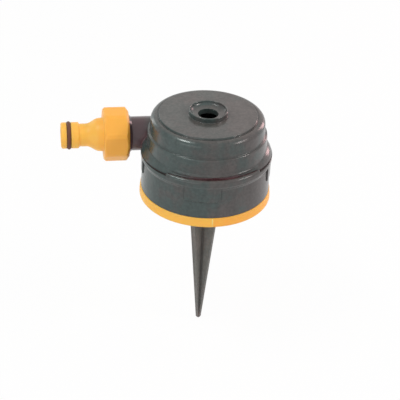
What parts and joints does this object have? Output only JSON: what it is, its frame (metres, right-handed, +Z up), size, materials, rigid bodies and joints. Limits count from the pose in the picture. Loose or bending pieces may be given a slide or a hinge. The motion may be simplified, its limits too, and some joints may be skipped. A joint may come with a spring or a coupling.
{
  "type": "whirl-chamber sprinkler",
  "caption": "Static garden sprinkler: round two-tier housing with a top nozzle and an off-centre inlet, on a ribbed ground spike, with a screw-on hose adaptor.",
  "frame": {"origin": "centre of the base ring's underside, where the soil line is", "axes": "+Z up along the housing's axis, -X along the inlet and the hose adaptor, +Y towards the side the inlet is offset to"},
  "size_m": [0.1266, 0.08, 0.1544],
  "materials": {
    "housing_plastic": "satin, dark grey-green",
    "amber_plastic": "semi-gloss, amber",
    "spike_plastic": "satin, dark grey",
    "brown_rubber": "satin, dark red-brown",
    "black_rubber": "matte, black",
    "zinc_steel": "bright zinc"
  },
  "bodies": {
    "ground_spike": {"spike": "spike_plastic"},
    "head": {"upper_housing": "housing_plastic", "lower_housing": "housing_plastic", "base_ring": "amber_plastic", "chamber_floor": "housing_plastic", "floor_seal": "black_rubber", "base_screws": "zinc_steel"},
    "washer": {"adaptor_washer": "black_rubber"},
    "adaptor": {"hose_adaptor": "amber_plastic", "nose_seal": "brown_rubber"}
  },
  "joints": [
    {"name": "lift_off", "type": "slide", "parent": "ground_spike", "child": "head", "axis": [0, 0, 1], "range_m": [0, 0.016]},
    {"name": "adaptor_back_off", "type": "slide", "parent": "head", "child": "washer", "axis": [-1, 0, 0], "range_m": [0, 0.0108]},
    {"name": "adaptor_turn", "type": "hinge", "parent": "washer", "child": "adaptor", "pos_m": [-0.055, 0.02, 0.0311], "axis": [-1, 0, 0], "range_deg": [0, 2124]}
  ],
  "couplings": [
    {"joint": "adaptor_back_off", "follows": "adaptor_turn", "m_per_rad": 0.00028871}
  ]
}
